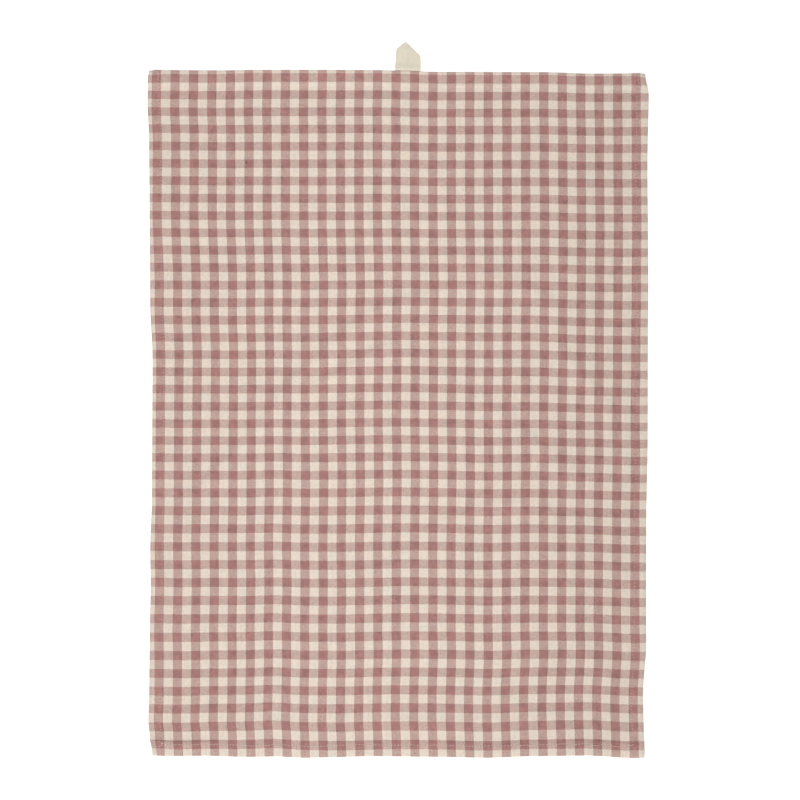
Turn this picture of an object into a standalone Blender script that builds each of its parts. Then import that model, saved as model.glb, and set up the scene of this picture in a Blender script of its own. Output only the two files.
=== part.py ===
"""A gingham tea towel that lies face up on a flat surface, with its tape hanging loop.

The frame: +X to the right, +Y towards the hanging loop and +Z up. The towel lies on z = 0, and the origin
is in the middle of its outline, the loop included. Lengths are in metres, and tables say where they are
in millimetres.
"""

import math
from collections import namedtuple

import bmesh
import bpy
from mathutils import Vector

MM = 0.001

# The cloth: the straight rectangle round its wavy edges, and where that rectangle starts.
CLOTH_WIDTH = 0.5055
CLOTH_LENGTH = 0.695
CLOTH_LEFT = -CLOTH_WIDTH / 2
CLOTH_BOTTOM = -0.3611
CLOTH_THICKNESS = 0.0010

# The hem: the cloth turned in twice on all four sides.
HEM_WIDTH = 0.012
HEM_THICKNESS = 0.0018
HEM_STEP = 0.0014  # the narrow slope from the hem down to the single cloth
GRID_SPACING = 0.012

# The hanging loop: one tape, turned over twice at 45 degrees, so that its two legs lie side by side.
TAPE_WIDTH = 0.0106
TAPE_THICKNESS = 0.0010
CLEARANCE = 0.0003  # between layers and pieces that lie on each other
TURN_RADIUS = (TAPE_THICKNESS + CLEARANCE) / 2  # of the tape's middle surface at its turns
TIP_WIDTH = 0.0030  # between the two turns, at the top
SLIT_WIDTH = 0.0006  # between the legs, once they have closed up
SLIT_RUN = 0.0090  # how far below the turns they have closed up
LOOP_HALF_WIDTH = TAPE_WIDTH + TIP_WIDTH / 2
LOOP_CENTRE = 0.0105
SHOULDER_Y = 0.3459  # where the turns start, on the right
LEFT_SHOULDER_RISE = 0.0054  # how much higher the left shoulder lies
TIP_LEAN = 0.0020  # how far the tip leans to the left
TAPE_END_Y = 0.3225  # both ends lie under the top hem
ACROSS_STEPS = 4
LEG_STEPS = 6
TURN_STEPS = 6
TOP_STEPS = 4

# Where the cloth rises over the ends of the tape.
TAPE_COVER_DEPTH = 0.0100  # from the cloth's top edge to the end of the raised place
TAPE_COVER_SIDE = 0.0025  # beyond the tape on each side
TAPE_RAMP = 0.0050  # the slopes beside the raised place
TAPE_RAMP_END = 0.0150  # the longer slope below it

# How far the cloth's edges lie inside the straight rectangle. "along" is the place along the edge, from 0 at
# its left or bottom end to 1 at its other end.
EdgePoint = namedtuple("EdgePoint", "along inset_mm")
LEFT_EDGE = (
    EdgePoint(0.00, 4.5),
    EdgePoint(0.03, 2.3),
    EdgePoint(0.10, 2.6),
    EdgePoint(0.19, 3.5),
    EdgePoint(0.34, 3.8),
    EdgePoint(0.50, 5.6),
    EdgePoint(0.59, 4.6),
    EdgePoint(0.68, 2.6),
    EdgePoint(0.82, 1.5),
    EdgePoint(0.96, 0.0),
    EdgePoint(1.00, 1.0),
)
RIGHT_EDGE = (
    EdgePoint(0.00, 4.5),
    EdgePoint(0.16, 4.0),
    EdgePoint(0.23, 3.0),
    EdgePoint(0.30, 4.0),
    EdgePoint(0.43, 2.0),
    EdgePoint(0.55, 1.0),
    EdgePoint(0.69, 0.0),
    EdgePoint(0.88, 0.9),
    EdgePoint(0.95, 0.4),
    EdgePoint(1.00, 4.5),
)
BOTTOM_EDGE = (
    EdgePoint(0.00, 3.0),
    EdgePoint(0.08, 2.5),
    EdgePoint(0.13, 3.2),
    EdgePoint(0.27, 2.0),
    EdgePoint(0.40, 3.2),
    EdgePoint(0.60, 2.0),
    EdgePoint(0.88, 3.5),
    EdgePoint(0.97, 0.0),
    EdgePoint(1.00, 0.5),
)
TOP_EDGE = (
    EdgePoint(0.00, 1.5),
    EdgePoint(0.09, 0.7),
    EdgePoint(0.15, 2.0),
    EdgePoint(0.31, 0.0),
    EdgePoint(0.48, 2.4),
    EdgePoint(0.56, 1.6),
    EdgePoint(0.64, 3.0),
    EdgePoint(0.82, 3.6),
    EdgePoint(1.00, 4.9),
)

# The soft creases: low ridges along a route of points, in millimetres from the origin, that fade out
# towards both ends.
Crease = namedtuple("Crease", "name height_mm half_width_mm route_mm")
CREASES = (
    Crease("great arch", 1.3, 20, ((-203, -112), (-172, -42), (-120, 1), (-49, 68), (32, 104),
                                   (134, 120), (174, 72), (210, -2))),
    Crease("inner arch", 0.7, 18, ((-82, 5), (-26, 50), (32, 76), (66, 80))),
    Crease("right slant", 1.0, 18, ((96, 18), (117, -17), (157, -43), (180, -70))),
    Crease("middle slant", 1.2, 18, ((-70, -204), (-9, -169), (22, -139), (52, -119), (120, -95))),
    Crease("left slant", 0.7, 18, ((-160, -184), (-157, -152), (-138, -122), (-107, -82))),
    Crease("low right", 0.8, 18, ((178, -260), (185, -224), (204, -196))),
    Crease("low line", 0.7, 16, ((-70, -313), (50, -314), (165, -311))),
    Crease("hem line left", 1.1, 16, ((-245, -341), (-200, -341), (-120, -342))),
    Crease("hem line right", 1.1, 16, ((120, -342), (195, -341), (245, -344))),
)

# Plain colours, as the mean of what shows.
CLOTH_COLOUR = (0.62, 0.42, 0.36, 1.0)
TAPE_COLOUR = (0.75, 0.68, 0.56, 1.0)
CLOTH_ROUGHNESS = 0.9


def clear_scene():
    for old in list(bpy.data.objects):
        bpy.data.objects.remove(old, do_unlink=True)


def make_collection(name):
    collection = bpy.data.collections.new(name)
    bpy.context.scene.collection.children.link(collection)
    return collection


def make_material(name, colour, roughness):
    material = bpy.data.materials.new(name)
    material.use_nodes = True
    shader = material.node_tree.nodes["Principled BSDF"]
    shader.inputs["Base Color"].default_value = colour
    shader.inputs["Roughness"].default_value = roughness
    shader.inputs["Metallic"].default_value = 0.0
    return material


def ease(share):
    """0 to 1 along a soft S, held at both ends."""
    share = min(max(share, 0.0), 1.0)
    return share * share * (3.0 - 2.0 * share)


def blend(start, end, share):
    return start + (end - start) * share


def edge_inset(table, along):
    """How far an edge lies inside the rectangle, in metres, eased from row to row of its table."""
    for before, after in zip(table, table[1:]):
        if along <= after.along:
            share = (along - before.along) / (after.along - before.along)
            return MM * blend(before.inset_mm, after.inset_mm, ease(share))
    return MM * table[-1].inset_mm


def cloth_point(across, along):
    """The plan position of a place on the cloth, from 0 to 1 both across its width and up its length."""
    left = CLOTH_LEFT + edge_inset(LEFT_EDGE, along)
    right = CLOTH_LEFT + CLOTH_WIDTH - edge_inset(RIGHT_EDGE, along)
    bottom = CLOTH_BOTTOM + edge_inset(BOTTOM_EDGE, across)
    top = CLOTH_BOTTOM + CLOTH_LENGTH - edge_inset(TOP_EDGE, across)
    return Vector((blend(left, right, across), blend(bottom, top, along), 0.0))


def crease_height(crease, point):
    """How high a crease lifts the cloth at a point: a round ridge that fades out at the ends of its route."""
    stops = [Vector((x * MM, y * MM, 0.0)) for x, y in crease.route_mm]
    lengths = [(after - before).length for before, after in zip(stops, stops[1:])]
    nearest, place, passed = math.inf, 0.0, 0.0
    for before, after, length in zip(stops, stops[1:], lengths):
        share = (point - before).dot(after - before) / length**2
        share = min(max(share, 0.0), 1.0)
        distance = (point - before.lerp(after, share)).length
        if distance < nearest:
            nearest, place = distance, passed + share * length
        passed += length
    half_width = crease.half_width_mm * MM
    if nearest >= half_width:
        return 0.0
    ridge = (1.0 - (nearest / half_width) ** 2) ** 2
    fade = ease(2.0 * place / passed) * ease(2.0 * (1.0 - place / passed))
    return crease.height_mm * MM * ridge * fade


def tape_cover_height(across_line, depth):
    """How high the cloth lies over the tape's ends, on a grid line and at a depth below its top edge."""
    side = abs(CLOTH_LEFT + across_line - LOOP_CENTRE) - LOOP_HALF_WIDTH - TAPE_COVER_SIDE
    beside = 1.0 - ease(side / TAPE_RAMP)
    below = 1.0 - ease((depth - TAPE_COVER_DEPTH) / TAPE_RAMP_END)
    return (TAPE_THICKNESS + CLEARANCE) * beside * below


def grid_lines(length, wanted):
    """The grid's lines along one side: evenly spaced, with the hem's lines and the wanted ones among them."""
    fixed = [0.0, length, *wanted]
    for hem_line in (HEM_WIDTH - HEM_STEP / 2, HEM_WIDTH + HEM_STEP / 2):
        fixed += [hem_line, length - hem_line]
    count = round((length - 2 * HEM_WIDTH) / GRID_SPACING)
    even = [HEM_WIDTH + (length - 2 * HEM_WIDTH) * i / count for i in range(count + 1)]
    clear = [line for line in even if min(abs(line - other) for other in fixed) > GRID_SPACING / 3]
    return sorted(fixed + clear)


def make_sheet(name, columns, rows, place, collection, material):
    """A grid of columns by rows points, each put where place(column, row) says."""
    bm = bmesh.new()
    bmesh.ops.create_grid(bm, x_segments=columns - 1, y_segments=rows - 1, size=0.5)
    for vertex in bm.verts:
        column = round((vertex.co.x + 0.5) * (columns - 1))
        row = round((vertex.co.y + 0.5) * (rows - 1))
        vertex.co = place(column, row)
    mesh = bpy.data.meshes.new(name)
    bm.to_mesh(mesh)
    bm.free()
    mesh.materials.append(material)
    mesh.shade_smooth()
    sheet = bpy.data.objects.new(name, mesh)
    collection.objects.link(sheet)
    return sheet


def make_cloth(collection):
    """The cloth with its thicker hem. Its underside is flat, apart from the creases and the place over the tape."""
    tape_side = LOOP_HALF_WIDTH + TAPE_COVER_SIDE
    tape_lines = [LOOP_CENTRE - CLOTH_LEFT + side * reach
                  for side in (-1, 1) for reach in (tape_side, tape_side + TAPE_RAMP)]
    across_lines = grid_lines(CLOTH_WIDTH, tape_lines)
    along_lines = grid_lines(CLOTH_LENGTH, [CLOTH_LENGTH - TAPE_COVER_DEPTH])

    def place(column, row):
        point = cloth_point(across_lines[column] / CLOTH_WIDTH, along_lines[row] / CLOTH_LENGTH)
        creases = max(crease_height(crease, point) for crease in CREASES)
        depth = CLOTH_LENGTH - along_lines[row]
        over_tape = tape_cover_height(across_lines[column], depth)
        return point + Vector((0.0, 0.0, max(creases, over_tape)))

    material = make_material("cloth", CLOTH_COLOUR, CLOTH_ROUGHNESS)
    cloth = make_sheet("towel_cloth", len(across_lines), len(along_lines), place, collection, material)

    hem = cloth.vertex_groups.new(name="hem")
    columns = len(across_lines)
    for vertex in cloth.data.vertices:
        column, row = vertex.index % columns, vertex.index // columns
        to_side = min(across_lines[column], CLOTH_WIDTH - across_lines[column])
        to_end = min(along_lines[row], CLOTH_LENGTH - along_lines[row])
        hem.add([vertex.index], 1.0 if min(to_side, to_end) < HEM_WIDTH else 0.0, "REPLACE")

    thicken = cloth.modifiers.new("thickness", "SOLIDIFY")
    thicken.thickness = HEM_THICKNESS
    thicken.offset = 1.0
    thicken.vertex_group = hem.name
    thicken.thickness_vertex_group = CLOTH_THICKNESS / HEM_THICKNESS
    return cloth


def turn_over(point, corner, outward, from_height, to_height):
    """Rolls what lies beyond a fold line over a round turn, so that it comes back at another height."""
    distance = (point - corner).dot(outward)
    if distance <= 0.0:
        return point
    on_line = point - distance * outward
    half_turn = math.pi * TURN_RADIUS
    if distance < half_turn:
        angle = distance / TURN_RADIUS
        height = blend(from_height, to_height, (1.0 - math.cos(angle)) / 2)
        point = on_line + TURN_RADIUS * math.sin(angle) * outward
    else:
        height = to_height
        point = on_line - (distance - half_turn) * outward
    return Vector((point.x, point.y, height))


def settle_tape(point):
    """Closes up the legs below the turns, lifts the left shoulder and leans the tip."""
    x, y, z = point
    closed = ease((SHOULDER_Y - y) / SLIT_RUN)
    inner = blend(TIP_WIDTH / 2, SLIT_WIDTH / 2, closed)
    widened = (LOOP_HALF_WIDTH - inner) / TAPE_WIDTH
    if y < SHOULDER_Y:
        x = math.copysign(LOOP_HALF_WIDTH - (LOOP_HALF_WIDTH - abs(x)) * widened, x)
    leaned = x - TIP_LEAN * ease((y - SHOULDER_Y) / TAPE_WIDTH)
    towards_left = (LOOP_HALF_WIDTH - x) / (2 * LOOP_HALF_WIDTH)
    risen = y + LEFT_SHOULDER_RISE * towards_left * ease((y - TAPE_END_Y) / (SHOULDER_Y - TAPE_END_Y))
    return Vector((LOOP_CENTRE + leaned, risen, z))


def tape_lines(offset):
    """The places along the tape, at an offset from its middle, where its cross lines fall. Near the turns they
    slant with the fold lines."""
    start = TAPE_END_Y
    first_turn = SHOULDER_Y + TAPE_WIDTH / 2 + offset
    turn_length = math.pi * TURN_RADIUS * math.sqrt(2.0)
    between = 2 * (TAPE_WIDTH / 2 - offset) + TIP_WIDTH - turn_length
    second_turn = first_turn + turn_length + between
    end = second_turn + turn_length + (first_turn - start)
    stretches = (
        (start, first_turn, LEG_STEPS),
        (first_turn, first_turn + turn_length, TURN_STEPS),
        (first_turn + turn_length, second_turn, TOP_STEPS),
        (second_turn, second_turn + turn_length, TURN_STEPS),
        (second_turn + turn_length, end, LEG_STEPS),
    )
    lines = [start]
    for low, high, steps in stretches:
        lines += [blend(low, high, (i + 1) / steps) for i in range(steps)]
    return lines


def make_hanging_loop(collection):
    """The tape: up the left leg, over to the right at the first turn, and down the right leg at the second."""
    left_outward = Vector((-1.0, 1.0, 0.0)).normalized()
    right_outward = Vector((1.0, 1.0, 0.0)).normalized()
    corner_y = SHOULDER_Y + TAPE_WIDTH
    left_corner = Vector((-TIP_WIDTH / 2, corner_y, 0.0))
    right_corner = Vector((TIP_WIDTH / 2, corner_y, 0.0))
    upper = 2 * TURN_RADIUS
    rows = len(tape_lines(0.0))

    def place(column, row):
        offset = TAPE_WIDTH * (column / ACROSS_STEPS - 0.5)
        flat = Vector((offset - (TAPE_WIDTH + TIP_WIDTH) / 2, tape_lines(offset)[row], 0.0))
        over = turn_over(flat, left_corner, left_outward, 0.0, upper)
        if over.z >= upper:
            over = turn_over(over, right_corner, right_outward, upper, 0.0)
        return settle_tape(over)

    material = make_material("tape", TAPE_COLOUR, CLOTH_ROUGHNESS)
    loop = make_sheet("hanging_loop", ACROSS_STEPS + 1, rows, place, collection, material)
    for vertex in loop.data.vertices:
        vertex.co.z += TAPE_THICKNESS / 2
    thicken = loop.modifiers.new("thickness", "SOLIDIFY")
    thicken.thickness = TAPE_THICKNESS
    thicken.offset = 0.0
    return loop


def main():
    clear_scene()
    collection = make_collection("tea_towel")
    make_cloth(collection)
    make_hanging_loop(collection)


main()
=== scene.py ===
"""The looks of the gingham tea towel: its woven cloth with turned hems, its seams and its hanging loop.

The frame: +X to the right, +Y towards the hanging loop and +Z up, in metres. The cloth is made as it is
sewn. It starts as a flat cut piece, its sides are turned in twice and then its ends, and it is laid on the
surface with the soft creases of the towel's solid.
"""

import math
from collections import namedtuple

import bmesh
import bpy
import numpy as np
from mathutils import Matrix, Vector, noise


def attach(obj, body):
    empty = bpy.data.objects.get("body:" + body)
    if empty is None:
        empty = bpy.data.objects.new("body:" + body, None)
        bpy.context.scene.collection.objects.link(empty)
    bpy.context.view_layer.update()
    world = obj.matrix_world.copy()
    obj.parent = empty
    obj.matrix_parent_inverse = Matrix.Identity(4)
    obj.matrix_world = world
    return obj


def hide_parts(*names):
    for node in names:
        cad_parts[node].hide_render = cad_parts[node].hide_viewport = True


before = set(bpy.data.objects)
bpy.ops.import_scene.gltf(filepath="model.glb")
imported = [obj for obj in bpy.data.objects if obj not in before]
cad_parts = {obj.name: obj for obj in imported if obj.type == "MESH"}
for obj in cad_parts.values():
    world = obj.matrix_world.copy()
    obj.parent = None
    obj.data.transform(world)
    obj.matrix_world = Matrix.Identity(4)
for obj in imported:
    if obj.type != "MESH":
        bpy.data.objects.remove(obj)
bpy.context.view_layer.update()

MM = 0.001

# -------- Sizes --------

# The cloth: the straight rectangle round its wavy edges, and where that rectangle starts.
CLOTH_WIDTH = 0.5055
CLOTH_LENGTH = 0.695
CLOTH_LEFT = -CLOTH_WIDTH / 2
CLOTH_BOTTOM = -0.3611
CLOTH_THICKNESS = 0.00030
LAYER = 0.00032  # from one layer of cloth to the next in a hem
HEM_CENTRE = 1.5  # the middle of a hem's three layers, in layers above its bottom
SINGLE_CENTRE = -0.5  # what brings a single layer down to the surface

HEM_WIDTH = 0.0132
HEM_TUCK = 0.010  # the raw edge, turned in first
HEM_REACH = 2.0 * HEM_WIDTH  # how far in from an edge its hem still tells
EDGE_TURN = math.pi * LAYER  # what the turn at a hem's edge takes up of the cloth
TUCK_TURN = 0.5 * EDGE_TURN  # what the turn into its tuck takes up
STACK_GROWTH = 1.5  # how much further an edge's turn stands out, for what its stack is thicker
HEM_SLOPE = 0.0028  # how soon the face comes down to the surface beside a hem
CORNER_SLOPE = 0.0100  # how soon a hem comes down from a corner, where it crosses another
BRIDGE_HEIGHT = 4.0 * LAYER  # how high it may lie above the surface there
BODY_SPACING = 0.0035
HEM_SPACING = 0.0033
SLOPE_STEPS = 4
EDGE_TURN_STEPS = 6
TUCK_TURN_STEPS = 4

# The hanging loop: one tape, turned over twice at 45 degrees, so that its two legs lie side by side.
TAPE_WIDTH = 0.0115
TAPE_THICKNESS = 0.0004
TAPE_CLEARANCE = 0.0001
TURN_RADIUS = (TAPE_THICKNESS + TAPE_CLEARANCE) / 2
TIP_WIDTH = 0.0022
SLIT_WIDTH = 0.00003
TAPE_EDGE_LOSS = 0.00002  # what the rounding of the tape's edges takes off each one
SLIT_SHARE = 1.15  # how far below its fold a leg has closed up to the other, in tape widths
LOOP_HALF_WIDTH = TAPE_WIDTH + TIP_WIDTH / 2
LOOP_CENTRE = 0.01015
SHOULDER_Y = 0.34705
LEFT_SHOULDER_RISE = 0.0072
LEFT_RISE_START_Y = 0.3220
SHOULDER_ROUNDING = 0.0004
SHOULDER_REACH = 0.0030
SHOULDER_SLANT = math.pi / 8  # which way its corner is cut back, from level
TIP_LEAN = 0.0021
TIP_FLATTENED = 0.10  # what the tip has lost of its height
FOOT_Y = 0.3320  # where the tape comes out from under the cloth
FOOT_SPREAD = 0.0010  # how much further left its left leg lies there
FOOT_SPRING = 0.0008  # how far the tape springs up just outside the hem
FOOT_SPRING_START = 0.0009  # from the cloth's edge line, past the turn of its hem
FOOT_SPRING_RISE = 0.0013
FOOT_SPRING_FALL = 0.0070
TAPE_END_Y = 0.3194  # past the seam that catches it
TAPE_ACROSS_STEPS = 8
TAPE_LEG_STEPS = 30
TAPE_TURN_STEPS = 8
TAPE_TOP_STEPS = 8

# Where the cloth rises over the ends of the tape.
TAPE_COVER_DEPTH = 0.0110
TAPE_COVER_SIDE = 0.0005
TAPE_RAMP = 0.0050
TAPE_RAMP_END = 0.0100

# How far the cloth's edges lie inside the straight rectangle. Each pair holds a place along the edge, from
# 0 at its left or bottom end to 1 at its other end, and the inset in millimetres.
LEFT_EDGE = (
    (0.00, 2.7), (0.03, 1.9), (0.05, 0.7), (0.09, 1.6), (0.17, 2.1), (0.25, 3.1), (0.30, 2.6),
    (0.38, 4.4), (0.58, 4.9), (0.66, 2.6), (0.82, 1.9), (0.90, 1.5), (0.95, -0.1), (1.00, 0.4),
)
RIGHT_EDGE = (
    (0.00, 4.8), (0.09, 6.0), (0.17, 2.8), (0.22, 3.0), (0.34, 2.8), (0.47, 1.4), (0.61, 1.3),
    (0.68, 0.8), (0.87, 1.6), (0.98, 0.3), (1.00, 0.5),
)
BOTTOM_EDGE = (
    (0.00, 2.9), (0.06, 2.4), (0.11, 2.7), (0.20, 1.5), (0.25, 2.0), (0.31, 0.7), (0.36, 1.1),
    (0.45, 2.2), (0.58, 1.6), (0.68, 0.7), (0.78, 2.3), (0.88, 2.9), (0.98, 0.5), (1.00, 0.5),
)
TOP_EDGE = (
    (0.00, 0.6), (0.14, 1.1), (0.22, 0.5), (0.43, 0.6), (0.59, 2.6), (0.78, 2.8), (0.89, 4.4),
    (1.00, 4.0),
)

# How far each corner is drawn to the right and up, fading out within its reaches from the side and end.
Corner = namedtuple("Corner", "across along right_mm up_mm side_reach_mm end_reach_mm")
CORNERS = (
    Corner(0, 0, 2.4, 0.0, 10.0, 22.0),  # bottom left
    Corner(1, 0, -0.1, 0.1, 6.0, 6.0),  # bottom right
    Corner(0, 1, 1.2, -0.9, 8.0, 8.0),  # top left
    Corner(1, 1, -3.6, -0.8, 9.0, 24.0),  # top right
)

# The soft creases. A route runs along the middle of a crease's steep side, as points with x and y in
# millimetres from the origin and the share of its height. The steep side falls to the left of the route.
Crease = namedtuple("Crease", "height_mm steep_mm gentle_mm route")
CREASES = (
    Crease(1.2, 7.0, 19, (  # great arch
        (-212, -118, 0.0), (-203, -88, 1.3), (-183, -61, 1.2), (-166, -44, 0.9), (-136, -14, 1.3),
        (-126, 7, 1.5), (-95, 37, 1.4), (-52, 74, 1.6), (-25, 94, 1.5), (9, 108, 1.1), (70, 121, 0.6),
        (97, 127, 0.8), (130, 121, 0.9), (150, 108, 1.2), (167, 91, 0.9), (169, 64, 0.7), (176, 42, 0.9),
        (204, 13, 1.1), (221, -13, 0.8), (226, -50, 0.0),
    )),
    Crease(1.6, 6.5, 20, (  # inner arch
        (-135, 0, 0.0), (-109, 13, 0.8), (-65, 27, 1.2), (-38, 47, 1.2), (-18, 57, 1.3), (15, 62, 0.0),
    )),
    Crease(1.4, 7.0, 22, (  # right slant
        (75, 4, 0.0), (103, -3, 0.8), (123, -24, 1.1), (147, -44, 1.0), (182, -68, 0.6), (190, -88, 0.0),
    )),
    Crease(1.1, 7.5, 16, (  # middle slant
        (-62, -200, 0.0), (-40, -180, 1.0), (-20, -170, 1.3), (8, -148, 1.0), (36, -121, 1.2),
        (57, -115, 1.2), (90, -101, 1.0), (130, -99, 1.0), (160, -106, 0.0),
    )),
    Crease(0.9, 7, 12, (  # left slant
        (-173, -208, 0.0), (-165, -185, 0.7), (-149, -155, 1.0), (-146, -135, 0.6), (-132, -112, 0.0),
    )),
    Crease(0.85, 6, 17, (  # low right
        (180, -190, 0.0), (182, -215, 1.1), (186, -245, 1.3), (200, -262, 1.2), (221, -280, 1.0),
        (240, -288, 0.0),
    )),
    Crease(0.7, 7, 12, (  # low line
        (-176, -308, 0.0), (-150, -320, 0.8), (-95, -321, 0.7), (-38, -320, 0.8), (-5, -320, 1.5),
        (30, -321, 1.4), (63, -321, 1.6), (100, -320, 0.7), (145, -318, 0.8), (168, -316, 0.0),
    )),
    Crease(0.8, 5, 8, (  # hem line left
        (-245, -343, 0.0), (-222, -343, 1.0), (-205, -344, 1.2), (-187, -343, 1.0), (-163, -343, 0.0),
    )),
    Crease(0.5, 5, 8, (  # hem line right
        (180, -343, 0.0), (196, -343, 0.8), (225, -344, 0.3), (235, -345, 0.0),
    )),
    Crease(0.6, 2.5, 5, (  # corner nick
        (190, -318, 0.0), (196, -325, 1.0), (206, -334, 1.0), (212, -340, 0.0),
    )),
)
ROUTE_CUT = 0.25  # how much of a route's leg is cut off at each end, to round its corners
ROUTE_ROUNDS = 2

# The soft unevenness of the whole cloth and of its hems. Each comes from noise between -1 and 1 that
# changes over about one length, and lifts the cloth where the noise stays above -share.
Swell = namedtuple("Swell", "height length share seed")
CLOTH_SWELL = Swell(0.00035, 0.055, 0.3, 3.1)
HEM_RIPPLE = Swell(0.0003, 0.018, 0.2, 8.4)

# The checks. Stripes of the warp run up the towel and stripes of the weft across it. Both repeat as a rose
# stripe and a cream stripe of the same number of threads.
WARP_REPEAT = 0.01865
WARP_MARGIN = 0.0043  # from the left edge to the first rose stripe
WEFT_MARGIN = 0.0023  # from the top edge to the first rose stripe
WEFT_STRIPES = 38
WEFT_RUN = 0.6641  # of that many stripes, as they start at the top
WEFT_SPREAD = 0.0125  # what they gain by the bottom, where the weft lies looser
WEFT_SPREAD_POWER = 4  # how late they gain it
WEFT_OVERRUN = 0.1  # how far past both ends the stripes are laid out, for the hems
WEFT_SAMPLES = 601
WARP_THREADS = 42  # in one repeat
WEFT_THREADS = 38

# How far the stripes lie off their even places, in millimetres: the warp's to the right and the weft's
# down. Each row is for a height, from 0 at the bottom to 1 at the top, with a shift for each place across.
WARP_PLACES = (0.12, 0.36, 0.58, 0.87)
WARP_DRIFT = (
    (0.06, (0.9, 0.3, 0.9, 1.7)),
    (0.12, (0.7, 0.1, 0.9, 1.9)),
    (0.19, (-0.2, -0.8, -0.5, 0.5)),
    (0.29, (-0.1, -0.9, -0.7, 0.6)),
    (0.39, (-1.1, -1.5, -0.9, 0.1)),
    (0.50, (-1.1, -2.6, -2.0, -0.7)),
    (0.58, (-0.9, -2.3, -1.8, -0.1)),
    (0.69, (0.0, -0.9, -0.6, 0.0)),
    (0.79, (-1.6, -1.9, -1.1, 0.8)),
    (0.89, (-1.0, -1.6, -0.9, 0.7)),
    (0.97, (-0.5, -0.9, -0.9, -0.7)),
)
WEFT_PLACES = (0.07, 0.25, 0.42, 0.54, 0.70, 0.92)
WEFT_DRIFT = (
    (0.00, (0.1, -1.4, 0.4, -0.6, -0.3, -0.1)),
    (0.05, (1.4, -1.3, 0.2, -0.6, -0.6, -1.0)),
    (0.14, (2.9, 0.6, 1.6, 0.4, 0.7, 1.4)),
    (0.26, (1.6, 0.6, 1.4, -0.1, 0.2, 1.4)),
    (0.42, (0.1, -0.6, -0.8, -1.7, -0.8, 1.0)),
    (0.50, (1.2, 0.6, -0.2, -1.0, -0.2, 1.8)),
    (0.61, (1.5, 1.3, 0.5, -1.1, -0.7, 1.8)),
    (0.76, (0.4, 0.6, 0.8, -0.3, -0.6, 0.3)),
    (0.92, (-0.1, 0.4, 0.1, -0.3, -0.7, -0.7)),
    (1.00, (1.2, 0.5, 0.5, 0.3, 0.2, 0.0)),
)

# The seams: which edge each one follows, how thick its thread lies, how deep the stitches sink in, how
# unevenly they lie and how far the seam sways near its far end.
SEAM_INSET = 0.0114
Seam = namedtuple("Seam", "level far radius_mm sunk_mm shake_mm sway_mm")
SEAMS = (
    Seam(False, False, 0.17, 0.05, 0.07, 0.0),  # left
    Seam(False, True, 0.18, 0.06, 0.07, 0.0),  # right
    Seam(True, False, 0.24, 0.00, 0.20, 0.7),  # bottom
    Seam(True, True, 0.15, 0.12, 0.05, 0.0),  # top
)
SWAY_LENGTH = 0.0035  # of a seam's sway, divided by two pi
SWAY_START = 0.8  # as a share of the seam's length
SWAY_RISE = 0.1
SEAM_WAVE_MM = 0.2  # how far every seam waves to and fro
SEAM_WAVE_RATE = 90.0  # in radians for each metre
SEAM_WAVE_APART = 400.0  # what sets the waves of two seams apart

# The stitches. Each is a short tube, given at steps along it: how high it lies there, and its radius as a
# share of the thread's.
STITCH_PITCH = 0.0033
STITCH_LENGTH = 0.0026
STITCH_UNEVEN = 0.03  # of a pitch
STITCH_STEPS = np.linspace(0.0, 1.0, 5)
STITCH_RISE = np.array((-0.00022, 0.00002, 0.00007, 0.00002, -0.00022))
STITCH_TAPER = np.array((0.6, 1.0, 1.05, 1.0, 0.6))
STITCH_SIDES = 6
STITCH_SEED = 5

# Extra stitches where the seams were begun and made fast, from one place to another: from the left or the
# bottom edge, or where they are negative from the right or the top edge.
TACK_RADIUS = 0.00023
Tack = namedtuple("Tack", "side_mm end_mm to_side_mm to_end_mm")
TACKS = (
    Tack(-10.6, -4.4, -9.9, -6.2),
    Tack(-9.7, -7.4, -9.3, -9.6),
    Tack(-9.2, -11.2, -8.9, -13.6),
    Tack(-10.8, -16.6, -10.4, -18.6),
    Tack(-8.1, -16.8, -8.3, -18.6),
    Tack(9.0, -2.6, 10.8, -4.0),
    Tack(11.2, -5.4, 9.4, -6.6),
    Tack(9.4, -8.2, 11.2, -9.6),
    Tack(8.0, 13.6, 10.4, 14.2),
    Tack(10.8, 13.8, 12.3, 11.6),
    Tack(12.2, 10.6, 10.4, 8.6),
    Tack(9.9, 8.3, 7.8, 8.8),
)


# -------- Small helpers --------


def ease(share):
    """0 to 1 along a soft S, held at both ends. Works on numbers and arrays."""
    share = np.clip(share, 0.0, 1.0)
    return share * share * (3.0 - 2.0 * share)


def blend(start, end, share):
    return start + (end - start) * share


def eased(places, values, at):
    """The values of some places, eased from each place to the next. They may be numbers or arrays."""
    result = values[0] + np.zeros(np.shape(at))
    for before, after, low, high in zip(places, places[1:], values, values[1:]):
        result = result + (high - low) * ease((at - before) / (after - before))
    return result


def inset(edge, along):
    """How far an edge lies inside the straight rectangle, in metres."""
    return MM * eased(*zip(*edge), along)


def drift(table, places, across, along):
    """How far the stripes lie off their even places, in metres."""
    heights, rows = zip(*table)
    columns = [eased(heights, shifts, along) for shifts in zip(*rows)]
    return MM * eased(places, columns, across)


def top_edge(across):
    return CLOTH_BOTTOM + CLOTH_LENGTH - inset(TOP_EDGE, across)


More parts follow.
